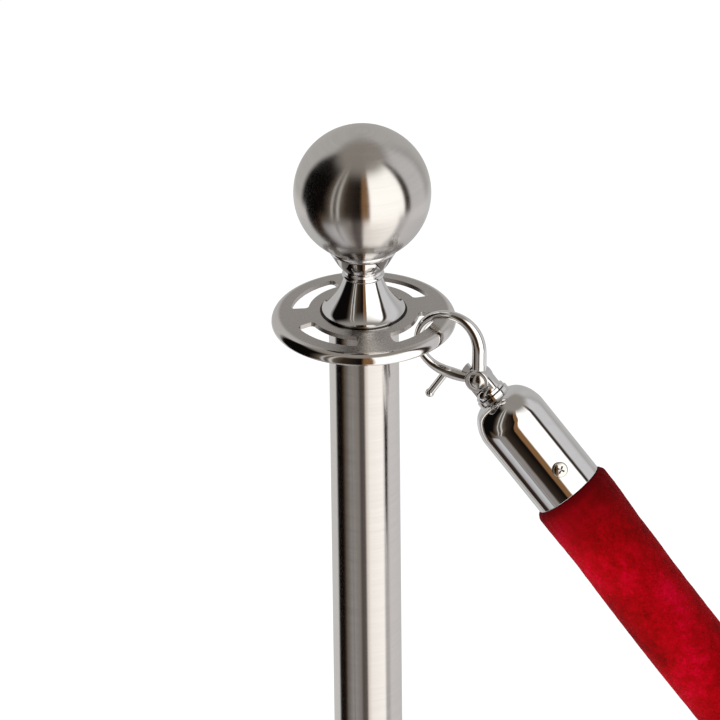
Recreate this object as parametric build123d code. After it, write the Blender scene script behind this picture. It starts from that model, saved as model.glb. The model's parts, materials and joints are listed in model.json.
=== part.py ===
from build123d import *
import os
from math import sin, cos, tan, radians, sqrt, pi

# Rope barrier stanchion: weighted floor base, stainless post, slotted rope ring,
# polished neck, hollow ball finial, and one velvet rope end clipped on by a
# swivelling snap hook.  Millimetres, +Z up, origin at the centre of the base's
# underside.  -Y is the front.

os.makedirs("parts", exist_ok=True)

# ---------------------------------------------------------------- dimensions
OVERALL_H = 950.0          # floor to the top of the ball
BALL_D = 74.0
BALL_WALL = 1.0
BALL_HOLE_R = 9.0
BALL_Z = OVERALL_H - BALL_D / 2

TUBE_D = 38.0
TUBE_WALL = 1.2
TUBE_R = TUBE_D / 2
TUBE_IR = TUBE_R - TUBE_WALL

STUD_D = 10.0              # M10, drawn at its major diameter
STUD_R = STUD_D / 2
CLEAR_R = STUD_R + 0.25

# rope ring: a pressed, slightly domed disc with four arc slots
RING_D = 100.0
RING_T = 2.5
RING_DROP = 1.5            # fall of the dome from the neck to the rim
RING_EDGE_R = 5.0          # turned-down outer edge
SLOT_R_IN = 30.0
SLOT_R_OUT = 39.5
SLOT_SWEEP = 60.0          # degrees
SLOT_ROT = 10.0            # plan angle of the first web
SLOT_CORNER_R = 2.2
NECK_H = 71.5              # ball centre to the top of the rope ring
RING_TOP = BALL_Z - NECK_H
RING_BOTTOM = RING_TOP - RING_T

# neck
NECK_FOOT_R = 22.5
NECK_LIP = 1.4

# base
BASE_D = 320.0
BASE_R = BASE_D / 2
COVER_T = 1.2
COVER_TOP = 45.0
RUBBER_H = 3.0
WEIGHT_R = 145.0

# snap hook, in its own plane: X runs from the hook's ring towards the rope cap,
# Y is across it on the fixed side, Z is out of the hook's plane
HOOK_C = (-1.0, -1.0)      # centre of the round opening, just off the rope's axis
HOOK_R = 17.25             # its centreline radius
HOOK_WIRE_R = 2.4
PIVOT_X = 24.4             # gate rivet
EYE_R = 6.9
EYE_HALF = 4.6
GATE_SLOT_HALF = 1.8
GATE_WEB_R = 10.2          # the gate web's outer radius about the rivet
GATE_REACH = 33.8          # rivet to the gate's free end
FLANGE_R = 8.6
FLANGE_X0, FLANGE_X1 = 33.0, 34.9
SHANK_R = 3.0

# rope cap, same axis
CAP_R = 19.8
CAP_WALL = 0.85
CAP_COLLAR_R = 9.4
CAP_X0 = 35.2              # outer face of the collar
CAP_MOUTH = 103.0
CAP_IN_R = CAP_R - CAP_WALL
SCREW_X = 87.5
SCREW_ANGLE = 41.0         # about the cap axis, from the hook's normal

# rope
ROPE_D = 43.0
ROPE_R = ROPE_D / 2
ROPE_END_R = CAP_IN_R - 0.05
ROPE_CORE_R = 17.0
ROPE_IN_CAP = 35.0
ROPE_RUNS = [50.0, 83.0, 83.0, 50.0]
ROPE_DOWN = [49.4, 52.0, 49.1, 47.8]   # degrees below horizontal, run by run

# where the hook hangs on the rope ring, in the upright plane at this plan angle
HOOK_PLAN = -20.0
HOOK_POS = (49.96, -12.3)  # hook's own origin: radius from the post, height above the ring's top
HINGE_POS = (39.5, -0.9)   # the slot's outer top edge, which the hook's wire rolls round


def pol(r, a):
    return (r * cos(radians(a)), r * sin(radians(a)))


def revolve_z(face):
    return revolve(face, axis=Axis.Z)


def lathe(points):
    """Solid of revolution about Z from a closed (r, z) outline of straight sides."""
    pts = [(r, 0, z) for r, z in points]
    return revolve(make_face(Polyline(*pts, close=True)), axis=Axis.Z)


def outline(*edges):
    return make_face(Wire(list(edges)) if len(edges) > 1 else edges[0])


def v3(r, z):
    return (r, 0, z)


def line(a, b):
    return Line(v3(*a), v3(*b))


# ---------------------------------------------------------------- base
def make_base():
    out = {}
    s = 158.6
    out["base_rubber_ring"] = lathe([(149, 0), (BASE_R - 0.6, 0), (BASE_R, 0.8), (BASE_R, RUBBER_H),
                                     (s, RUBBER_H), (s, 8), (150, 8), (149, 7)])
    # pressed cover: short upright skirt, rounded shoulder, shallow cone, flat top
    t = COVER_T
    o = [line((BASE_R, RUBBER_H), (BASE_R, 10)),
         ThreePointArc(v3(BASE_R, 10), v3(BASE_R - 2.6, 16.6), v3(BASE_R - 9, 19.6)),
         Spline(v3(BASE_R - 9, 19.6), v3(110, 29.0), v3(60, 39.0), v3(34, COVER_TOP),
                tangents=[(-1, 0, 0.16), (-1, 0, 0.02)]),
         line((34, COVER_TOP), (CLEAR_R, COVER_TOP)),
         line((CLEAR_R, COVER_TOP), (CLEAR_R, COVER_TOP - t)),
         line((CLEAR_R, COVER_TOP - t), (34, COVER_TOP - t)),
         Spline(v3(34, COVER_TOP - t), v3(60, 39.0 - t), v3(110, 29.0 - t), v3(BASE_R - 9, 19.6 - t),
                tangents=[(1, 0, -0.02), (1, 0, -0.16)]),
         ThreePointArc(v3(BASE_R - 9, 19.6 - t), v3(BASE_R - 3.5, 15.8), v3(BASE_R - t, 10)),
         line((BASE_R - t, 10), (BASE_R - t, RUBBER_H)),
         line((BASE_R - t, RUBBER_H), (BASE_R, RUBBER_H))]
    out["base_cover"] = revolve_z(outline(*o))
    # cast iron weight with a raised hub that carries the cover and the post
    out["base_weight"] = lathe([(CLEAR_R, 14), (22, 14), (22, 3), (WEIGHT_R, 3), (WEIGHT_R, 12), (WEIGHT_R - 3, 14.5),
                                (48, 23), (40, 27), (33, COVER_TOP - t), (CLEAR_R, COVER_TOP - t)])
    # washer and hexagon bolt, up through the weight and cover into the foot plug
    out["base_washer"] = lathe([(CLEAR_R, 12), (15, 12), (15, 14), (CLEAR_R, 14)])
    head = Pos(0, 0, 5.6) * extrude(RegularPolygon(17 / sqrt(3), 6), 6.4)
    shank = Pos(0, 0, 12) * Cylinder(STUD_R, COVER_TOP + 20 - 12, align=(Align.CENTER, Align.CENTER, Align.MIN))
    out["base_bolt"] = head + shank
    # dress collar at the foot of the post
    f = [line((TUBE_R + 0.05, COVER_TOP), (34, COVER_TOP)),
         line((34, COVER_TOP), (34, COVER_TOP + 1.6)),
         Spline(v3(34, COVER_TOP + 1.6), v3(25.6, COVER_TOP + 6.5), v3(21.6, COVER_TOP + 18),
                tangents=[(-1, 0, 0.10), (-0.06, 0, 1)]),
         ThreePointArc(v3(21.6, COVER_TOP + 18), v3(21.9, COVER_TOP + 20.6), v3(20.5, COVER_TOP + 22)),
         line((20.5, COVER_TOP + 22), (TUBE_R + 0.05, COVER_TOP + 22)),
         line((TUBE_R + 0.05, COVER_TOP + 22), (TUBE_R + 0.05, COVER_TOP))]
    out["base_collar"] = revolve_z(outline(*f))
    return out


# ---------------------------------------------------------------- post
def make_post():
    out = {}
    out["post_tube"] = lathe([(TUBE_IR, COVER_TOP), (TUBE_R, COVER_TOP), (TUBE_R, RING_BOTTOM), (TUBE_IR, RING_BOTTOM)])
    out["tube_foot_plug"] = lathe([(STUD_R, COVER_TOP), (TUBE_IR, COVER_TOP), (TUBE_IR, COVER_TOP + 20), (STUD_R, COVER_TOP + 20)])
    out["tube_top_plug"] = lathe([(STUD_R, RING_BOTTOM - 25), (TUBE_IR, RING_BOTTOM - 25),
                                  (TUBE_IR, RING_BOTTOM), (STUD_R, RING_BOTTOM)])
    z0 = RING_BOTTOM - 22
    z1 = BALL_Z - 27
    out["centre_stud"] = lathe([(0, z0), (STUD_R - 0.8, z0), (STUD_R, z0 + 0.8), (STUD_R, z1 - 0.8), (STUD_R - 0.8, z1), (0, z1)])
    return out


# ---------------------------------------------------------------- rope ring
def arc_slot(mid):
    """Closed arc-shaped slot outline, rounded at its four corners."""
    h = SLOT_SWEEP / 2
    a, b = mid - h, mid + h
    p = [pol(SLOT_R_OUT, a), pol(SLOT_R_OUT, mid), pol(SLOT_R_OUT, b),
         pol(SLOT_R_IN, b), pol(SLOT_R_IN, mid), pol(SLOT_R_IN, a)]
    w = Wire([ThreePointArc(p[0], p[1], p[2]), Line(p[2], p[3]),
              ThreePointArc(p[3], p[4], p[5]), Line(p[5], p[0])])
    f = make_face(w)
    return fillet(f.vertices(), SLOT_CORNER_R)


def make_ring():
    R = RING_D / 2
    T = RING_TOP
    t = RING_T
    e = RING_EDGE_R
    k = sqrt(0.5)
    rs = R - e                       # where the turned edge starts
    zs = T - RING_DROP
    lip = 1.25                       # rounded lower lip, half the plate thickness
    o = [line((CLEAR_R, T), (24, T)),
         Spline(v3(24, T), v3(36, T - 0.62), v3(rs, zs), tangents=[(1, 0, 0), (1, 0, -0.09)]),
         ThreePointArc(v3(rs, zs), v3(rs + e * k, zs - e * (1 - k)), v3(R, zs - e)),
         ThreePointArc(v3(R, zs - e), v3(R - lip, zs - e - lip), v3(R - 2 * lip, zs - e)),
         ThreePointArc(v3(R - 2 * lip, zs - e), v3(rs + (e - t) * k, zs - e + (e - t) * k), v3(rs, zs - t)),
         Spline(v3(rs, zs - t), v3(36, T - 0.62 - t), v3(24, T - t), tangents=[(-1, 0, 0.09), (-1, 0, 0)]),
         line((24, T - t), (CLEAR_R, T - t)),
         line((CLEAR_R, T - t), (CLEAR_R, T))]
    disc = revolve_z(outline(*o))
    for i in range(4):
        mid = SLOT_ROT - 45 - 90 * i
        disc -= Pos(0, 0, T - 12) * extrude(arc_slot(mid), 20)
    return disc


# ---------------------------------------------------------------- neck and ball
def make_top():
    out = {}
    B = BALL_Z
    rb = BALL_D / 2

    def d(x):
        return B - x

    rim = 19.0
    zr = sqrt(rb * rb - rim * rim)
    T = RING_TOP
    o = [Spline(v3(rim, d(zr)), v3(17.9, d(35.2)), v3(14.6, d(41.0)), v3(11.2, d(45.6)),
                tangents=[(0.12, 0, -1), (-0.85, 0, -1)]),
         line((11.2, d(45.6)), (10.3, d(46.4))),
         line((10.3, d(46.4)), (10.3, d(47.9))),
         ThreePointArc(v3(10.3, d(47.9)), v3(11.5, d(49.2)), v3(10.3, d(50.5))),
         Spline(v3(10.3, d(50.5)), v3(11.3, d(54.5)), v3(14.6, d(61.2)), v3(19.3, d(67.3)), v3(NECK_FOOT_R, T + NECK_LIP),
                tangents=[(0.05, 0, -1), (1, 0, -0.62)]),
         line((NECK_FOOT_R, T + NECK_LIP), (NECK_FOOT_R, T)),
         line((NECK_FOOT_R, T), (16, T)),
         line((16, T), (CLEAR_R + 1.5, T + 11)),
         line((CLEAR_R + 1.5, T + 11), (CLEAR_R, T + 11)),
         line((CLEAR_R, T + 11), (CLEAR_R, d(sqrt(rb * rb - CLEAR_R * CLEAR_R)))),
         ThreePointArc(v3(CLEAR_R, d(sqrt(rb * rb - CLEAR_R * CLEAR_R))), v3(13, d(sqrt(rb * rb - 169))), v3(rim, d(zr)))]
    out["neck_collar"] = revolve_z(outline(*o))

    # hollow ball, open at the bottom for its threaded bush
    ri = rb - BALL_WALL
    hr = BALL_HOLE_R
    k = sqrt(0.5)
    zo, zi = sqrt(rb * rb - hr * hr), sqrt(ri * ri - hr * hr)
    s = [ThreePointArc(v3(hr, B - zo), v3(rb, B), v3(0, B + rb)),
         line((0, B + rb), (0, B + ri)),
         ThreePointArc(v3(0, B + ri), v3(ri, B), v3(hr, B - zi)),
         line((hr, B - zi), (hr, B - zo))]
    out["ball_shell"] = revolve_z(outline(*s))
    zc = B - sqrt(rb * rb - STUD_R * STUD_R)
    b = [ThreePointArc(v3(STUD_R, zc), v3(7, B - sqrt(rb * rb - 49)), v3(hr, B - zo)),
         line((hr, B - zo), (hr, B - zi)),
         ThreePointArc(v3(hr, B - zi), v3(11, B - sqrt(ri * ri - 121)), v3(13, B - sqrt(ri * ri - 169))),
         line((13, B - sqrt(ri * ri - 169)), (13, B - 27)),
         line((13, B - 27), (STUD_R, B - 27)),
         line((STUD_R, B - 27), (STUD_R, zc))]
    out["ball_bush"] = revolve_z(outline(*b))
    return out


# ---------------------------------------------------------------- snap hook
def x_lathe(edges):
    """Revolve an (x, y) outline about the hook's X axis."""
    return revolve(make_face(Wire(edges)), axis=Axis.X)


def station(x, y, heading, r):
    a = radians(heading)
    return Plane(origin=(x, y, 0), x_dir=(0, 0, 1), z_dir=(cos(a), sin(a), 0)) * Circle(r)


def rivet_cyl(r, h):
    return Pos(PIVOT_X, 0, 0) * Cylinder(r, h)


def make_hook():
    out = {}
    # round wire claw: from its root by the pivot, over the top, to the tip at the gate
    st = []
    for ang, rr, wr, h in [(12, 21.8, 4.0, 135), (30, 18.5, 4.05, 133), (52, 17.3, 3.85, 143), (78, HOOK_R - 0.1, 3.45, 168),
                           (110, HOOK_R, 2.85, 200), (140, HOOK_R, HOOK_WIRE_R, 230), (175, HOOK_R, HOOK_WIRE_R, 265),
                           (210, HOOK_R, HOOK_WIRE_R, 300), (238, HOOK_R, HOOK_WIRE_R, 328), (264, HOOK_R, 2.3, 354)]:
        x, y = pol(rr, ang)
        st.append(station(x + HOOK_C[0], y + HOOK_C[1], h, wr))
    claw = loft(st)
    tip_cut = Pos(PIVOT_X, 0, 0) * Cylinder(GATE_REACH + 0.35, 20) & Pos(4, -22, 0) * Box(30, 26, 20)
    claw = claw - tip_cut
    boss = rivet_cyl(EYE_R, 2 * EYE_HALF)
    boss = fillet(boss.edges().filter_by(GeomType.CIRCLE), 0.9)
    # flared neck, swivel flange, shank and its peened head
    neck = x_lathe([Line((PIVOT_X + 2.5, 0), (PIVOT_X + 2.5, 4.4)),
                    Line((PIVOT_X + 2.5, 4.4), (PIVOT_X + 5.2, 4.5)),
                    Spline((PIVOT_X + 5.2, 4.5), (PIVOT_X + 6.2, 6.5), (FLANGE_X0, 7.5), tangents=[(0.2, 1), (1, 0.2)]),
                     Line((FLANGE_X0, 7.5), (FLANGE_X0, FLANGE_R - 0.3)),
                    Line((FLANGE_X0, FLANGE_R - 0.3), (FLANGE_X0 + 0.3, FLANGE_R)),
                    Line((FLANGE_X0 + 0.3, FLANGE_R), (FLANGE_X1 - 0.3, FLANGE_R)),
                    Line((FLANGE_X1 - 0.3, FLANGE_R), (FLANGE_X1, FLANGE_R - 0.3)),
                    Line((FLANGE_X1, FLANGE_R - 0.3), (FLANGE_X1, SHANK_R)),
                    Line((FLANGE_X1, SHANK_R), (42.1, SHANK_R)),
                    Line((42.1, SHANK_R), (42.1, 5.0)),
                    Line((42.1, 5.0), (43.2, 5.0)),
                    Line((43.2, 5.0), (44.6, 3.4)),
                    Line((44.6, 3.4), (44.6, 0)),
                    Line((44.6, 0), (PIVOT_X + 2.5, 0))])
    # shoulders that carry the boss's sides down to the flange
    side = make_face(Polyline((PIVOT_X, EYE_R), (FLANGE_X0, 7.4), (FLANGE_X0, -7.4), (PIVOT_X, -EYE_R), close=True))
    shoulders = Pos(0, 0, -4.3) * extrude(side, 8.6)
    shoulders = shoulders & Pos(PIVOT_X + 4, 0, 0) * Rot(0, 90, 0) * Cylinder(7.45, 30)
    body = claw + boss + neck + shoulders
    # slot for the gate's eye, open towards the gate's side
    slot = Pos(PIVOT_X - 2.6, -2.2, 0) * Box(17.6, 17.2, 2 * GATE_SLOT_HALF)
    slot = slot & (rivet_cyl(7.35, 20) + (rivet_cyl(GATE_WEB_R + 0.6, 20) & Pos(PIVOT_X - 8, -1, 0) * Box(16, 20, 20)) + Pos(PIVOT_X - 9.2, -7.4, 0) * Box(12, 9, 20))
    body = body - slot
    body = body - rivet_cyl(2.05, 30)
    out["body"] = body

    # gate: curved bar from the rivet to the tip, thumb lever, thin eye
    bar = loft([station(21.4, -4.2, 228, 2.5), station(17.6, -8.3, 228, 3.1), station(12.6, -12.5, 216, 3.15),
                station(6.7, -16.2, 202, 2.8), station(0.5, -17.9, 187, 2.5), station(-6.2, -17.7, 171, 2.3)])
    bar = bar - rivet_cyl(7.2, 20)
    bar = bar & rivet_cyl(GATE_REACH, 20)
    web = make_face(Polyline((14.2, -9.8), (18.2, -12.0), (PIVOT_X, -5.2), (PIVOT_X - 4.6, -2.3), close=True))
    eye = Pos(PIVOT_X, 0, -1.55) * Cylinder(5.2, 1.9, align=(Align.CENTER, Align.CENTER, Align.MIN))
    # the web follows the loop's round hole up to the hook's root
    fan = make_face(Polyline((PIVOT_X, 0), (PIVOT_X - 14, 0), (PIVOT_X - 14, -14), (PIVOT_X - 8, -14), close=True))
    fan = Pos(0, 0, -1.55) * extrude(fan, 1.9) & rivet_cyl(GATE_WEB_R, 20)
    fan = fan - Pos(HOOK_C[0], HOOK_C[1], 0) * Cylinder(HOOK_R - 2.6, 20)
    eye = eye + Pos(0, 0, -1.55) * extrude(web, 1.9) + fan
    p0, p1 = (11.8, -14.2), (16.6, -30.4)
    ln = sqrt((p1[0] - p0[0]) ** 2 + (p1[1] - p0[1]) ** 2)
    lever = Plane(origin=(p0[0], p0[1], 0), x_dir=(0, 0, 1), z_dir=((p1[0] - p0[0]) / ln, (p1[1] - p0[1]) / ln, 0)) \
        * Cylinder(2.05, ln, align=(Align.CENTER, Align.CENTER, Align.MIN))
    gate = bar + eye + lever + Pos(p1[0], p1[1], 0) * Sphere(2.5)
    gate = gate - rivet_cyl(2.06, 30)
    out["gate"] = gate

    # rivet with domed heads
    h = EYE_HALF
    prof = [Line((0, h + 1.9), (0.5, h + 1.9)),
            ThreePointArc((0.5, h + 1.9), (3.1, h + 1.25), (4.7, h)),
            Line((4.7, h), (2.0, h)), Line((2.0, h), (2.0, -h)), Line((2.0, -h), (4.7, -h)),
            ThreePointArc((4.7, -h), (3.1, -h - 1.25), (0.5, -h - 1.9)),
            Line((0.5, -h - 1.9), (0, -h - 1.9)), Line((0, -h - 1.9), (0, h + 1.9))]
    riv = revolve(make_face(Wire(prof)), axis=Axis.Y)
    out["rivet"] = Pos(PIVOT_X, 0, 0) * Rot(90, 0, 0) * riv

    # torsion spring beside the gate's eye: one coil and its fixed leg
    coil = Pos(PIVOT_X, 0, 1.05) * Torus(3.4, 0.5)
    leg = Pos(PIVOT_X + 3.4, 0, 1.05) * Rot(90, 0, 0) * Cylinder(0.5, 4.6, align=(Align.CENTER, Align.CENTER, Align.MIN))
    out["spring"] = coil + leg
    return out


def make_cap():
    """Rope cap, its two screws and the washer under the shank's head, on the hook's X axis."""
    out = {}
    dome = [(CAP_COLLAR_R + 0.5, 38.3), (13.2, 40.1), (15.8, 42.7), (17.5, 45.5), (18.65, 48.3), (19.4, 51.2), (CAP_R, 55.5)]
    w = CAP_WALL
    idome = [(CAP_IN_R, 55.5), (18.4, 51.4), (17.5, 48.6), (16.2, 46.1), (14.4, 43.9), (11.0, 41.6)]
    e = [Line((CAP_X0, SHANK_R + 0.06), (CAP_X0, CAP_COLLAR_R - 0.35)),
         ThreePointArc((CAP_X0, CAP_COLLAR_R - 0.35), (CAP_X0 + 0.1, CAP_COLLAR_R - 0.1), (CAP_X0 + 0.35, CAP_COLLAR_R)),
         Line((CAP_X0 + 0.35, CAP_COLLAR_R), (37.5, CAP_COLLAR_R)),
         ThreePointArc((37.5, CAP_COLLAR_R), (37.9, CAP_COLLAR_R - 0.35), (38.3, CAP_COLLAR_R)),
         Line((38.3, CAP_COLLAR_R), (dome[0][1], dome[0][0])),
         Spline(*[(x, r) for r, x in dome], tangents=[(0.5, 1), (1, 0)]),
         Line((55.5, CAP_R), (CAP_MOUTH - 0.3, CAP_R)),
         ThreePointArc((CAP_MOUTH - 0.3, CAP_R), (CAP_MOUTH, CAP_R - w / 2), (CAP_MOUTH - 0.3, CAP_IN_R)),
         Line((CAP_MOUTH - 0.3, CAP_IN_R), (55.5, CAP_IN_R)),
         Spline(*[(x, r) for r, x in idome], tangents=[(-1, 0), (-0.45, -1)]),
         Line((41.6, 11.0), (40.8, 10.2)),
         Line((40.8, 10.2), (40.8, SHANK_R + 0.06)),
         Line((40.8, SHANK_R + 0.06), (CAP_X0, SHANK_R + 0.06))]
    cap = x_lathe(e)
    screws = []
    for s in (0, 180):
        hole = Pos(SCREW_X, 0, 0) * Rot(-(SCREW_ANGLE + s), 0, 0) * Pos(0, 0, 14) * Cylinder(2.05, 10, align=(Align.CENTER, Align.CENTER, Align.MIN))
        cap = cap - hole
        # pan head with a cross recess, shank into the rope
        zt = CAP_R + 0.02
        hp = [Line((0, zt), (4.15, zt)),
              ThreePointArc((4.15, zt), (4.3, zt + 1.0), (3.3, zt + 1.9)),
              ThreePointArc((3.3, zt + 1.9), (1.8, zt + 2.3), (0, zt + 2.45)),
              Line((0, zt + 2.45), (0, zt))]
        head = revolve(make_face(Wire(hp)), axis=Axis.Y)
        head = Rot(90, 0, 0) * head
        sh = Pos(0, 0, zt - 11) * Cylinder(2.0, 11.3, align=(Align.CENTER, Align.CENTER, Align.MIN))
        sc = head + sh
        cross = Pos(0, 0, zt + 1.25) * Box(4.4, 0.95, 3.0, align=(Align.CENTER, Align.CENTER, Align.MIN))
        cross += Rot(0, 0, 90) * cross
        sc = sc - cross
        screws.append(Pos(SCREW_X, 0, 0) * Rot(-(SCREW_ANGLE + s), 0, 0) * Rot(0, 0, 28) * sc)
    out["cap"] = cap
    out["screws"] = Compound(children=[s if isinstance(s, Solid) else s.solids()[0] for s in screws])
    out["washer"] = x_lathe([Line((40.85, SHANK_R + 0.15), (40.85, 8.0)), Line((40.85, 8.0), (41.95, 8.0)),
                             Line((41.95, 8.0), (41.95, SHANK_R + 0.15)), Line((41.95, SHANK_R + 0.15), (40.85, SHANK_R + 0.15))])
    return out


# ---------------------------------------------------------------- placing the hooks, caps and rope
ca, sa = cos(radians(HOOK_PLAN)), sin(radians(HOOK_PLAN))
ER = Vector(ca, sa, 0)                       # outward in the hook's plane
UP = Vector(0, 0, 1)
NORMAL = Vector(sa, -ca, 0)                  # towards the front


def down(beta):
    return ER * cos(radians(beta)) - UP * sin(radians(beta))


hinge_point = ER * HINGE_POS[0] + UP * (RING_TOP + HINGE_POS[1])
hook_origin = ER * HOOK_POS[0] + UP * (RING_TOP + HOOK_POS[1])
near = Plane(origin=hook_origin, x_dir=down(ROPE_DOWN[0]), z_dir=NORMAL)

route = [hook_origin + down(ROPE_DOWN[0]) * (CAP_MOUTH - ROPE_IN_CAP)]
for run, beta in zip(ROPE_RUNS, ROPE_DOWN):
    route.append(route[-1] + down(beta) * run)
far_dir = down(ROPE_DOWN[-1])
far_origin = route[-1] + far_dir * (CAP_MOUTH - ROPE_IN_CAP)
far = Plane(origin=far_origin, x_dir=far_dir * -1, z_dir=NORMAL * -1)


def make_rope():
    radii = []
    for i in range(1, len(route) - 1):
        turn = (route[i] - route[i - 1]).get_angle(route[i + 1] - route[i])
        short = min((route[i] - route[i - 1]).length, (route[i + 1] - route[i]).length)
        radii.append(0.45 * short / tan(radians(turn / 2)))
    print("rope route", [tuple(round(c, 2) for c in p) for p in route], "radii", [round(r) for r in radii])
    path = FilletPolyline(*route, radius=radii)
    print("rope length", round(path.length, 2))
    start = Plane(origin=route[0], z_dir=down(ROPE_DOWN[0]), x_dir=NORMAL)
    full = sweep(start * Circle(ROPE_R), path=path)
    thin = sweep(start * Circle(ROPE_END_R), path=path)
    core = sweep(start * Circle(ROPE_CORE_R), path=path)
    a = near * Pos(CAP_MOUTH - 50 + 0.15, 0, 0) * Box(100, 100, 100)
    b = far * Pos(CAP_MOUTH - 50 + 0.15, 0, 0) * Box(100, 100, 100)
    mid = full - a - b
    mouths = [hook_origin + down(ROPE_DOWN[0]) * (CAP_MOUTH + 0.15), far_origin - far_dir * (CAP_MOUTH + 0.15)]
    rims = [e for e in mid.edges() if abs(e.length - 2 * pi * ROPE_R) < 2
            and min((e.center(CenterOf.MASS) - m).length for m in mouths) < 3]
    mid = fillet(rims, 2.3)
    print("rope volumes", round(core.volume), round(pi * ROPE_CORE_R ** 2 * path.length), round(full.volume), round(pi * ROPE_R ** 2 * path.length))
    cover = mid + thin - core
    return {"rope_cover": cover, "rope_core": core}


def main():
    parts = {}
    parts.update(make_base())
    parts.update(make_post())
    parts["rope_ring"] = make_ring()
    parts.update(make_top())
    hook = make_hook()
    cap = make_cap()
    for pre, plane in (("post", near), ("free", far)):
        for k, v in hook.items():
            parts[f"{pre}_hook_{k}"] = plane * v
        parts[f"{pre}_rope_cap"] = plane * cap["cap"]
        parts[f"{pre}_cap_screws"] = plane * cap["screws"]
        parts[f"{pre}_swivel_washer"] = plane * cap["washer"]
    parts.update(make_rope())
    print("hinge point", hinge_point, "pivot near", near.from_local_coords((PIVOT_X, 0, 0)), "pivot far", far.from_local_coords((PIVOT_X, 0, 0)))
    print("near x", near.x_dir, "normal", near.z_dir, "far x", far.x_dir, "far origin", far_origin)
    for name, shape in parts.items():
        export_step(shape, f"parts/{name}.step")


main()
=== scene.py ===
import json
import math

import bpy
from mathutils import Matrix, Vector, noise


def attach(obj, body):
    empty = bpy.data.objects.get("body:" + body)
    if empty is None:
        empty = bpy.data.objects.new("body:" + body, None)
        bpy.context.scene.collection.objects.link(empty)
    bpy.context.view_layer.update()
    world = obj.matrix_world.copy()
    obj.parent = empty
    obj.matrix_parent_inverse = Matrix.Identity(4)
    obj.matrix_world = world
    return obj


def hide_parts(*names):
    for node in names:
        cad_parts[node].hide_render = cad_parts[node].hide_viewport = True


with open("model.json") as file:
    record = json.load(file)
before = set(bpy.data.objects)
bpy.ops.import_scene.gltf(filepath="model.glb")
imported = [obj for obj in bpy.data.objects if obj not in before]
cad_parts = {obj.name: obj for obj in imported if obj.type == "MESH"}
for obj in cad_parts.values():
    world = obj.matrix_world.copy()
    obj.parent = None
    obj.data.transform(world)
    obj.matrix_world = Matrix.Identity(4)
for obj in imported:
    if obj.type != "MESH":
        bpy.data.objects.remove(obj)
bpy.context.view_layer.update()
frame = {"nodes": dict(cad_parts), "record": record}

scene = bpy.context.scene
nodes = frame["nodes"]

# ---------------------------------------------------------------- camera
EL, ROLL, DIST = math.radians(29), math.radians(-0.69), 3.5
FOCAL = 6475.0
f = Vector((0, math.cos(EL), -math.sin(EL)))
r0 = Vector((1, 0, 0))
u0 = Vector((0, math.sin(EL), math.cos(EL)))
r = math.cos(ROLL) * r0 + math.sin(ROLL) * u0
u = -math.sin(ROLL) * r0 + math.cos(ROLL) * u0
seen = Vector((0, 0, 0.8415))
eye = seen - r * (3.6 * DIST / FOCAL) - u * (50.5 * DIST / FOCAL) - f * DIST
cam = bpy.data.objects.new("camera", bpy.data.cameras.new("camera"))
scene.collection.objects.link(cam)
cam.data.sensor_width = 36
cam.data.lens = FOCAL / 720 * 36
cam.data.clip_end = 60
cam.matrix_world = Matrix(((r.x, u.x, -f.x, eye.x), (r.y, u.y, -f.y, eye.y), (r.z, u.z, -f.z, eye.z), (0, 0, 0, 1)))
scene.camera = cam
scene.view_settings.view_transform = "Standard"


# ---------------------------------------------------------------- materials
class Mat:
    """A node material with its Principled shader, and short calls for the nodes that feed it."""

    def __init__(self, name, color, metallic=0.0, rough=0.5, **constants):
        self.m = bpy.data.materials.new(name)
        self.m.use_nodes = True
        self.t = self.m.node_tree
        self.b = self.t.nodes["Principled BSDF"]
        self.b.inputs["Base Color"].default_value = (*color, 1)
        self.b.inputs["Metallic"].default_value = metallic
        self.b.inputs["Roughness"].default_value = rough
        for k, v in constants.items():
            self.b.inputs[k.replace("_", " ")].default_value = v
        self.co = self.t.nodes.new("ShaderNodeTexCoord").outputs["Object"]

    def link(self, a, b):
        self.t.links.new(a, b)

    def scaled(self, sx, sy, sz):
        n = self.t.nodes.new("ShaderNodeMapping")
        n.inputs["Scale"].default_value = (sx, sy, sz)
        self.link(self.co, n.inputs["Vector"])
        return n.outputs["Vector"]

    def noise(self, vector, scale, detail=3.0, rough=0.55, distortion=0.0):
        n = self.t.nodes.new("ShaderNodeTexNoise")
        n.inputs["Scale"].default_value = scale
        n.inputs["Detail"].default_value = detail
        n.inputs["Roughness"].default_value = rough
        n.inputs["Distortion"].default_value = distortion
        self.link(vector, n.inputs["Vector"])
        return n.outputs["Fac"]

    def ramp(self, fac, *stops):
        n = self.t.nodes.new("ShaderNodeValToRGB")
        e = n.color_ramp.elements
        while len(e) < len(stops):
            e.new(0.5)
        for el, (p, c) in zip(e, stops):
            el.position, el.color = p, (*c, 1)
        self.link(fac, n.inputs["Fac"])
        return n.outputs["Color"]

    def span(self, value, a, b, c, d):
        n = self.t.nodes.new("ShaderNodeMapRange")
        for k, v in zip(("From Min", "From Max", "To Min", "To Max"), (a, b, c, d)):
            n.inputs[k].default_value = v
        self.link(value, n.inputs["Value"])
        return n.outputs["Result"]

    def math(self, op, a, b=None):
        n = self.t.nodes.new("ShaderNodeMath")
        n.operation = op
        for s, v in zip(n.inputs, (a, b)):
            if v is None:
                continue
            if isinstance(v, (int, float)):
                s.default_value = v
            else:
                self.link(v, s)
        return n.outputs[0]

    def radius(self, scale=1.0):
        """Distance from the post's axis."""
        n = self.t.nodes.new("ShaderNodeVectorMath")
        n.operation = "LENGTH"
        self.link(self.scaled(scale, scale, 0), n.inputs[0])
        return n.outputs["Value"]

    def bump(self, height, strength, distance):
        n = self.t.nodes.new("ShaderNodeBump")
        n.inputs["Strength"].default_value = strength
        n.inputs["Distance"].default_value = distance
        self.link(height, n.inputs["Height"])
        self.link(n.outputs["Normal"], self.b.inputs["Normal"])


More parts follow.
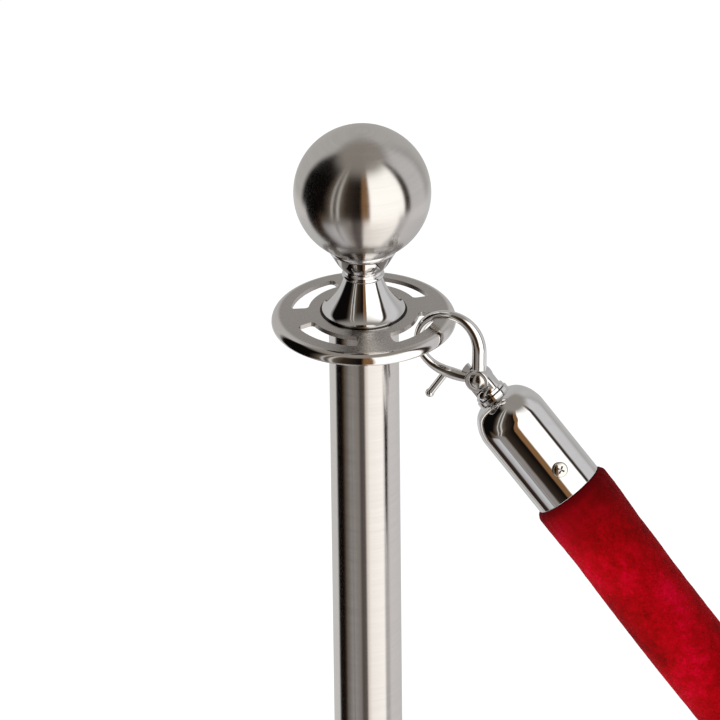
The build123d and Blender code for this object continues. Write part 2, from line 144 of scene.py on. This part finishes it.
def brushed(name, color, rough, aniso):
    """Stainless steel turned on a lathe: fine rings about the post's axis, which blur reflections along it."""
    m = Mat(name, color, 1.0, rough, Anisotropic=aniso, Anisotropic_Rotation=0.25)
    t = m.t.nodes.new("ShaderNodeTangent")
    t.direction_type, t.axis = "RADIAL", "Z"
    m.link(t.outputs["Tangent"], m.b.inputs["Tangent"])
    fine = m.noise(m.scaled(40, 40, 5200), 1.0, 4, 0.7)
    broad = m.noise(m.scaled(9, 9, 260), 1.0, 3, 0.6)
    blend = m.math("ADD", m.math("MULTIPLY", fine, 0.6), m.math("MULTIPLY", broad, 0.4))
    dark = tuple(c * 0.86 for c in color)
    m.link(m.ramp(blend, (0.3, dark), (0.7, color)), m.b.inputs["Base Color"])
    m.link(m.span(blend, 0.3, 0.7, rough * 0.8, rough * 1.25), m.b.inputs["Roughness"])
    m.bump(fine, 0.10, 0.00004)
    return m.m


def chrome(name, color, rough=0.035):
    m = Mat(name, color, 1.0, rough)
    smear = m.noise(m.scaled(90, 90, 90), 1.0, 4, 0.6, 0.8)
    scratch = m.noise(m.scaled(2500, 300, 900), 1.0, 2, 0.7)
    m.link(m.span(m.math("MULTIPLY", smear, scratch), 0.2, 0.5, rough * 0.7, rough * 2.6), m.b.inputs["Roughness"])
    m.link(m.ramp(smear, (0.3, tuple(c * 0.94 for c in color)), (0.7, color)), m.b.inputs["Base Color"])
    wave = m.noise(m.scaled(110, 110, 110), 1.0, 1, 0.4)
    m.bump(wave, 0.10, 0.0004)
    return m.m


def satin_ring():
    """The rope ring: satin face, turned marks, mirror polish on its rounded rim."""
    m = Mat("satin_ring", (0.56, 0.53, 0.50), 1.0, 0.3)
    rad = m.radius()
    grain = m.noise(m.scaled(700, 700, 700), 1.0, 4, 0.65)
    rim = m.span(rad, 0.0452, 0.0468, 0.0, 1.0)
    face_rough = m.span(grain, 0.3, 0.7, 0.24, 0.36)
    n = m.t.nodes.new("ShaderNodeMix")
    m.link(rim, n.inputs["Factor"])
    m.link(face_rough, n.inputs["A"])
    n.inputs["B"].default_value = 0.07
    m.link(n.outputs["Result"], m.b.inputs["Roughness"])
    tint = m.ramp(m.math("ADD", m.math("MULTIPLY", rim, 0.7), m.math("MULTIPLY", grain, 0.3)), (0.1, (0.46, 0.435, 0.41)), (0.25, (0.52, 0.49, 0.465)), (0.9, (0.78, 0.76, 0.74)))
    # painted contact shadow: a thin near-black line on the ring's face, just outside the neck's foot
    painted_contact_shadow = m.math("MULTIPLY", m.math("GREATER_THAN", rad, 0.0222), m.math("LESS_THAN", rad, 0.0236))
    dark = m.t.nodes.new("ShaderNodeMixRGB")
    m.link(painted_contact_shadow, dark.inputs["Fac"])
    m.link(tint, dark.inputs["Color1"])
    dark.inputs["Color2"].default_value = (0.012, 0.010, 0.010, 1)
    m.link(dark.outputs["Color"], m.b.inputs["Base Color"])
    m.bump(grain, 0.06, 0.00005)
    return m.m


def rough_metal(name, color, rough, scale, depth, metallic=1.0):
    m = Mat(name, color, metallic, rough)
    g = m.noise(m.scaled(1, 1, 1), scale, 6, 0.65)
    m.link(m.ramp(g, (0.3, tuple(c * 0.7 for c in color)), (0.7, color)), m.b.inputs["Base Color"])
    m.link(m.span(g, 0.3, 0.7, rough * 0.85, min(1, rough * 1.2)), m.b.inputs["Roughness"])
    m.bump(g, 0.4, depth)
    return m.m


def rubber():
    m = Mat("black_rubber", (0.02, 0.02, 0.02), 0.0, 0.7)
    g = m.noise(m.scaled(1, 1, 1), 900, 5, 0.7)
    d = m.noise(m.scaled(1, 1, 1), 40, 3, 0.6)
    m.link(m.ramp(d, (0.35, (0.014, 0.014, 0.015)), (0.75, (0.05, 0.048, 0.045))), m.b.inputs["Base Color"])
    m.link(m.span(g, 0.3, 0.7, 0.6, 0.85), m.b.inputs["Roughness"])
    m.bump(g, 0.3, 0.0002)
    return m.m


def velvet():
    """Short pile, crushed in patches: the pile's lean shows as light and dark mottling, with a sheen at grazing angles."""
    m = Mat("red_velvet", (0.40, 0.0, 0.012), 0.0, 0.85, Sheen_Weight=0.07, Sheen_Roughness=0.35)
    m.b.inputs["Sheen Tint"].default_value = (1.0, 0.05, 0.16, 1)
    m.b.inputs["Specular IOR Level"].default_value = 0.06
    broad = m.noise(m.scaled(1, 1, 1), 26, 2, 0.5, 0.2)
    patch = m.noise(m.scaled(1, 1, 1), 170, 5, 0.72, 0.2)
    nap = m.noise(m.scaled(1, 1, 1), 620, 4, 0.7, 0.4)
    fibre = m.noise(m.scaled(1, 1, 1), 2600, 3, 0.7)
    mix = m.math("ADD", m.math("MULTIPLY", broad, 0.35), m.math("ADD", m.math("MULTIPLY", patch, 0.25), m.math("ADD", m.math("MULTIPLY", nap, 0.25), m.math("MULTIPLY", fibre, 0.15))))
    tint = m.ramp(mix, (0.40, (0.12, 0.0, 0.0)), (0.48, (0.25, 0.0, 0.001)), (0.55, (0.37, 0.0, 0.004)), (0.63, (0.56, 0.0, 0.028)))
    # painted shade: the velvet's colour darkens towards each cap, strongest where the cover runs into it
    cap_shade_attribute = m.t.nodes.new("ShaderNodeAttribute")
    cap_shade_attribute.attribute_name = "cap_shade"
    cap_shade = m.t.nodes.new("ShaderNodeMixRGB")
    m.link(cap_shade_attribute.outputs["Fac"], cap_shade.inputs["Fac"])
    m.link(tint, cap_shade.inputs["Color1"])
    cap_shade.inputs["Color2"].default_value = (0.085, 0.0, 0.001, 1)
    m.link(cap_shade.outputs["Color"], m.b.inputs["Base Color"])
    m.link(m.span(nap, 0.3, 0.7, 0.75, 0.95), m.b.inputs["Roughness"])
    m.bump(m.math("ADD", m.math("MULTIPLY", nap, 0.5), m.math("MULTIPLY", fibre, 0.5)), 0.7, 0.0007)
    return m.m


def filling():
    m = Mat("rope_filling", (0.72, 0.68, 0.60), 0.0, 0.95)
    g = m.noise(m.scaled(300, 300, 300), 1.0, 5, 0.7)
    m.link(m.ramp(g, (0.3, (0.5, 0.46, 0.4)), (0.7, (0.75, 0.71, 0.64))), m.b.inputs["Base Color"])
    m.bump(g, 0.5, 0.0006)
    return m.m


STEEL = brushed("brushed_stainless", (0.72, 0.695, 0.67), 0.135, 0.88)
BALL = brushed("brushed_ball", (0.72, 0.695, 0.665), 0.17, 0.88)
CHROME = chrome("polished_chrome", (0.84, 0.835, 0.83), 0.02)
RIVET = chrome("rivet_chrome", (0.72, 0.70, 0.67), 0.12)
SCREW = chrome("screw_steel", (0.70, 0.68, 0.64), 0.09)
# painted shade: ambient occlusion darkens the screw's base colour in its cross recess and other hollows
painted_recess_shade = SCREW.node_tree.nodes.new("ShaderNodeAmbientOcclusion")
painted_recess_shade.inputs["Distance"].default_value = 0.0016
painted_recess_shade.samples = 8
shade = SCREW.node_tree.nodes.new("ShaderNodeValToRGB")
shade.color_ramp.elements[0].position, shade.color_ramp.elements[0].color = 0.45, (0.015, 0.012, 0.010, 1)
shade.color_ramp.elements[1].position, shade.color_ramp.elements[1].color = 0.80, (0.72, 0.70, 0.66, 1)
SCREW.node_tree.links.new(painted_recess_shade.outputs["AO"], shade.inputs["Fac"])
SCREW.node_tree.links.new(shade.outputs["Color"], SCREW.node_tree.nodes["Principled BSDF"].inputs["Base Color"])
RING = satin_ring()
ZINC = rough_metal("zinc_steel", (0.55, 0.55, 0.52), 0.35, 220, 0.0001)
SPRING = rough_metal("spring_steel", (0.40, 0.40, 0.41), 0.3, 600, 0.00005)
IRON = rough_metal("cast_iron", (0.09, 0.09, 0.09), 0.75, 240, 0.0009, 0.0)
RUBBER = rubber()
FILLING = filling()
VELVET = velvet()

by_slot = {
    "rubber": RUBBER, "cast_iron": IRON, "brushed_stainless": STEEL, "polished_chrome": CHROME,
    "satin_chrome": RING, "zinc_steel": ZINC, "rivet_chrome": RIVET, "spring_steel": SPRING,
    "screw_steel": SCREW, "red_velvet": VELVET, "rope_filling": FILLING,
}
for part in frame["record"]["subparts"]:
    o = nodes[part["node"]]
    o.data.materials.clear()
    o.data.materials.append(BALL if part["node"] == "ball_shell" else by_slot[part["material_slot"]])

# ---------------------------------------------------------------- the rope
ROUTE = [
    (0.08853, -0.03222, 0.77757),
    (0.11911, -0.04335, 0.73961),
    (0.16713, -0.06083, 0.67420),
    (0.21819, -0.07942, 0.61147),
    (0.24975, -0.09090, 0.57443),
]
curve = bpy.data.curves.new("rope_line", "CURVE")
curve.dimensions = "3D"
curve.resolution_u = 96
spline = curve.splines.new("NURBS")
spline.points.add(len(ROUTE) - 1)
for p, q in zip(spline.points, ROUTE):
    p.co = (*q, 1)
spline.order_u = 3
spline.use_endpoint_u = True
line = bpy.data.objects.new("rope_line", curve)
scene.collection.objects.link(line)
bpy.context.view_layer.update()
path_mesh = bpy.data.meshes.new_from_object(line.evaluated_get(bpy.context.evaluated_depsgraph_get()))
path = [v.co.copy() for v in path_mesh.vertices]
bpy.data.objects.remove(line)
reach = [0.0]
for a, b in zip(path, path[1:]):
    reach.append(reach[-1] + (b - a).length)
LENGTH = reach[-1]

TUCK = 0.035          # length of cover held in each cap
R_IN, R_ROPE, R_SWELL = 0.0184, 0.0215, 0.0222


def ease(x):
    x = max(0.0, min(1.0, x))
    return x * x * (3 - 2 * x)


def cover_radius(s):
    """The cover's radius at a distance s along the rope: tight in the caps, a rounded shoulder outside each mouth, a slight swell, then the plain rope."""
    d = min(s, LENGTH - s) - TUCK
    if d < 0.0004:
        return R_IN
    shoulder = math.sqrt(max(0.0, 1 - (1 - min(1.0, (d - 0.0004) / 0.0042)) ** 2))
    full = R_ROPE + (R_SWELL - R_ROPE) * (1 - ease((d - 0.010) / 0.030))
    return R_IN + (full - R_IN) * shoulder


def at(s):
    s = max(0.0, min(LENGTH, s))
    i = 0
    lo, hi = 0, len(reach) - 1
    while hi - lo > 1:
        i = (lo + hi) // 2
        if reach[i] <= s:
            lo = i
        else:
            hi = i
    k = (s - reach[lo]) / max(1e-9, reach[hi] - reach[lo])
    return path[lo].lerp(path[hi], k), (path[hi] - path[lo]).normalized()


stations = [0.0, 0.012, 0.024, 0.032]
s = 0.0345
while s < LENGTH - 0.0345:
    stations.append(s)
    d = min(s, LENGTH - s) - TUCK
    s += 0.00035 if d < 0.006 else 0.0009
stations += [LENGTH - 0.0345, LENGTH - 0.032, LENGTH - 0.024, LENGTH - 0.012, LENGTH]
AROUND = 180
SIDE = Vector((-0.34202, -0.939693, 0))
verts, faces, cap_shade_weights = [], [], []
for s in stations:
    c, t = at(s)
    e1 = (SIDE - t * SIDE.dot(t)).normalized()
    e2 = t.cross(e1)
    rad = cover_radius(s)
    d = min(s, LENGTH - s) - TUCK
    alive_here = ease((d - 0.001) / 0.010)
    for k in range(AROUND):
        a = 2 * math.pi * k / AROUND
        q = Vector((math.cos(a) * 21.5, math.sin(a) * 21.5, s * 1000))
        lump = noise.noise(q * 0.045) * 0.00016 + noise.noise(q * 0.16 + Vector((7, 3, 1))) * 0.00012 + noise.noise(q * 0.75) * 0.00010
        gather = 0.00016 * math.cos(a * 26 + 2 * noise.noise(q * 0.05)) * (1 - ease((d - 0.002) / 0.022)) * ease(d / 0.002)
        away = abs((a - math.radians(205) + math.pi) % (2 * math.pi) - math.pi) * 21.5
        seam = -0.0007 * math.exp(-((away / 0.7) ** 2)) + 0.00022 * math.exp(-(((away - 1.8) / 0.8) ** 2))
        rr = rad + (lump + seam) * alive_here + gather
        verts.append(c + (e1 * math.cos(a) + e2 * math.sin(a)) * rr)
        # painted shade weights: near full inside each cap, fading out along the rope from each mouth
        cap_shade_weights.append(0.95 * (1 - ease((d - 0.001) / 0.006)) + 0.62 * ease((d - 0.001) / 0.006) * (1 - ease((d - 0.002) / (0.034 + 0.012 * noise.noise(q * 0.08)))))
n = len(stations)
for i in range(n - 1):
    for k in range(AROUND):
        j = (k + 1) % AROUND
        faces.append((i * AROUND + k, i * AROUND + j, (i + 1) * AROUND + j, (i + 1) * AROUND + k))
faces.append(tuple(reversed(range(AROUND))))
faces.append(tuple((n - 1) * AROUND + k for k in range(AROUND)))
mesh = bpy.data.meshes.new("velvet_rope")
mesh.from_pydata([tuple(v) for v in verts], [], faces)
mesh.update()
mesh.shade_smooth()
# store the painted shade weights for the velvet material
mesh.attributes.new("cap_shade", "FLOAT", "POINT").data.foreach_set("value", cap_shade_weights)
rope = bpy.data.objects.new("velvet_rope", mesh)
scene.collection.objects.link(rope)
mesh.materials.append(VELVET)
bpy.context.view_layer.update()
rope.visible_glossy = False
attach(rope, "rope")
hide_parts("rope_cover")

# ---------------------------------------------------------------- floor and light
floor_mesh = bpy.data.meshes.new("floor")
floor_mesh.from_pydata([(-30, -30, 0), (30, -30, 0), (30, 30, 0), (-30, 30, 0)], [], [(0, 1, 2, 3)])
floor = bpy.data.objects.new("floor", floor_mesh)
scene.collection.objects.link(floor)
fm = Mat("pale_floor", (0.90, 0.90, 0.90), 0.0, 0.9)
fm.b.inputs["Specular IOR Level"].default_value = 0.0
fm.b.inputs["Emission Color"].default_value = (1, 1, 1, 1)
fm.b.inputs["Emission Strength"].default_value = 0.40
floor_mesh.materials.append(fm.m)
floor.visible_glossy = False

world = bpy.data.worlds.new("studio")
scene.world = world
world.use_nodes = True
world.cycles.sampling_method = "NONE"
w = world.node_tree
w.nodes.clear()
out = w.nodes.new("ShaderNodeOutputWorld")
tc = w.nodes.new("ShaderNodeTexCoord")
sep = w.nodes.new("ShaderNodeSeparateXYZ")
w.links.new(tc.outputs["Generated"], sep.inputs[0])


def wmath(op, a, b=None):
    k = w.nodes.new("ShaderNodeMath")
    k.operation = op
    for sock, v in zip(k.inputs, (a, b)):
        if v is None:
            continue
        if isinstance(v, (int, float)):
            sock.default_value = v
        else:
            w.links.new(v, sock)
    return k.outputs[0]


turn = wmath("ADD", wmath("DIVIDE", wmath("ARCTAN2", sep.outputs["X"], wmath("MULTIPLY", sep.outputs["Y"], -1.0)), 2 * math.pi), 0.5)
def around(*stops):
    """Colours of the studio round the horizon: (angle from straight in front, towards the right, in degrees; colour)."""
    k = w.nodes.new("ShaderNodeValToRGB")
    el = k.color_ramp.elements
    while len(el) < len(stops):
        el.new(0.5)
    for e, (deg, col) in zip(el, stops):
        e.position, e.color = (deg + 180) / 360, (*col, 1)
    w.links.new(turn, k.inputs["Fac"])
    return k.outputs["Color"]


def rising(z0, z1, below, above):
    """below under the height z0 of the view direction, above over z1."""
    k = w.nodes.new("ShaderNodeMapRange")
    k.interpolation_type = "SMOOTHSTEP"
    for name, v in zip(("From Min", "From Max", "To Min", "To Max"), (z0, z1, 0.0, 1.0)):
        k.inputs[name].default_value = v
    w.links.new(sep.outputs["Z"], k.inputs["Value"])
    x = w.nodes.new("ShaderNodeMixRGB")
    w.links.new(k.outputs["Result"], x.inputs["Fac"])
    for sock, v in ((x.inputs["Color1"], below), (x.inputs["Color2"], above)):
        if isinstance(v, tuple):
            sock.default_value = (*v, 1)
        else:
            w.links.new(v, sock)
    return x.outputs["Color"]


BLACK, BROWN, DEEP, AMBER = (0.004, 0.003, 0.003), (0.135, 0.112, 0.085), (0.040, 0.028, 0.020), (0.25, 0.13, 0.055)
GREY, PALE, WHITE = (0.46, 0.45, 0.445), (0.66, 0.65, 0.66), (1.5, 1.48, 1.44)
level = around(
    (-180, (0.50, 0.49, 0.48)), (-122, (0.55, 0.54, 0.53)), (-112, BLACK), (-68, BLACK), (-62, DEEP), (-54, BROWN), (-51, PALE), (-48, BROWN),
    (-44, BROWN), (-41, (0.75, 0.75, 0.72)), (-37, BROWN), (-27, DEEP), (-3, BLACK), (0, AMBER), (10, AMBER), (14, WHITE), (70, WHITE),
    (75, DEEP), (82, DEEP), (88, PALE), (118, PALE), (132, GREY), (150, (0.54, 0.53, 0.52)), (180, (0.50, 0.49, 0.48)),
)
lower = around(
    (-180, (0.60, 0.60, 0.60)), (-112, (0.80, 0.79, 0.78)), (-105, BLACK), (-82, BLACK), (-74, (0.075, 0.045, 0.022)), (-62, (0.15, 0.125, 0.10)), (-48, (0.27, 0.25, 0.235)), (-22, (0.32, 0.29, 0.275)),
    (-15, (0.125, 0.105, 0.095)), (-2, (0.15, 0.13, 0.12)), (3, (0.95, 0.86, 0.80)), (12, (1.30, 1.26, 1.20)), (60, (1.40, 1.37, 1.33)), (68, (0.55, 0.52, 0.52)), (78, (0.58, 0.56, 0.56)),
    (86, (0.84, 0.80, 0.81)), (120, (0.78, 0.76, 0.77)), (150, (0.66, 0.66, 0.66)), (180, (0.60, 0.60, 0.60)),
)
bottom = around(
    (-180, (0.50, 0.50, 0.50)), (-112, (0.70, 0.70, 0.70)), (-105, (0.012, 0.008, 0.006)), (-80, (0.05, 0.03, 0.02)), (-72, (0.42, 0.42, 0.44)), (-50, PALE), (-46, (0.16, 0.16, 0.17)),
    (-42, PALE), (-30, (0.38, 0.35, 0.33)), (-15, (0.12, 0.10, 0.095)), (-3, (0.14, 0.12, 0.11)), (4, (1.0, 0.95, 0.90)), (60, (1.25, 1.22, 1.18)), (68, (0.50, 0.48, 0.48)), (78, (0.55, 0.53, 0.53)),
    (86, (0.74, 0.71, 0.72)), (112, (0.66, 0.65, 0.66)), (180, (0.50, 0.50, 0.50)),
)
mixed = rising(0.70, 0.92, rising(-0.43, -0.33, rising(-0.60, -0.52, bottom, lower), level), (0.31, 0.285, 0.26))
mirror = w.nodes.new("ShaderNodeBackground")
w.links.new(mixed, mirror.inputs["Color"])
plain = w.nodes.new("ShaderNodeBackground")
plain.inputs["Color"].default_value = (1, 1, 1, 1)
plain.inputs["Strength"].default_value = 0.62
rays = w.nodes.new("ShaderNodeLightPath")
choose = w.nodes.new("ShaderNodeMixShader")
w.links.new(rays.outputs["Is Glossy Ray"], choose.inputs["Fac"])
w.links.new(plain.outputs[0], choose.inputs[1])
w.links.new(mirror.outputs[0], choose.inputs[2])
w.links.new(choose.outputs[0], out.inputs["Surface"])


def softbox(name, at_, to, size, watts, glossy=True):
    d = bpy.data.lights.new(name, "AREA")
    d.shape, d.size, d.size_y, d.energy = "RECTANGLE", size[0], size[1], watts
    o = bpy.data.objects.new(name, d)
    scene.collection.objects.link(o)
    o.location = at_
    o.rotation_mode = "QUATERNION"
    o.rotation_quaternion = (Vector(to) - Vector(at_)).to_track_quat("-Z", "Y")
    o.visible_glossy = glossy
    return o


softbox("key", (-1.5, -1.7, 2.1), (0.1, 0, 0.7), (0.8, 0.8), 36, glossy=False)
softbox("fill", (1.9, -1.2, 1.5), (0.1, 0, 0.7), (0.9, 1.4), 6, glossy=False)
